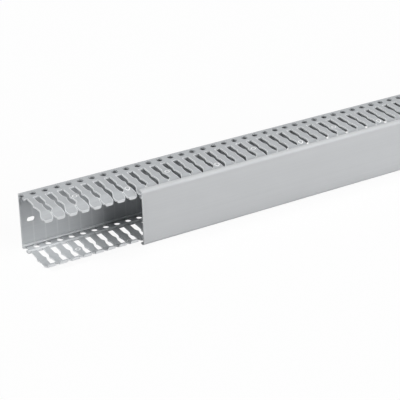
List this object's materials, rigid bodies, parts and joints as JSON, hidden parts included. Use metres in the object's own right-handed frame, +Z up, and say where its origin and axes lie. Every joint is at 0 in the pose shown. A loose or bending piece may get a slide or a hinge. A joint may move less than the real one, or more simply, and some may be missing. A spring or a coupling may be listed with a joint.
{
  "type": "slotted wire duct",
  "caption": "Slotted wiring duct with two finger walls, wire holes, a slotted back plate and a clip-on cover slid back from one end.",
  "frame": {"origin": "middle of the bounding box of both pieces as they lie, at floor level", "axes": "+X along the duct from its near end, +Y out of the back plate's mounting face and -Y out of the open side, +Z up with the duct lying on one finger wall"},
  "size_m": [1.102, 0.059, 0.059],
  "materials": {
    "grey_pvc": "satin",
    "cover_pvc": "satin"
  },
  "bodies": {
    "channel": {"base_channel": "grey_pvc"},
    "cover": {"duct_cover": "cover_pvc"}
  },
  "joints": [
    {"name": "cover_slide", "type": "slide", "parent": "channel", "child": "cover", "axis": [1, 0, 0], "range_m": [-0.102, 0.398]}
  ]
}
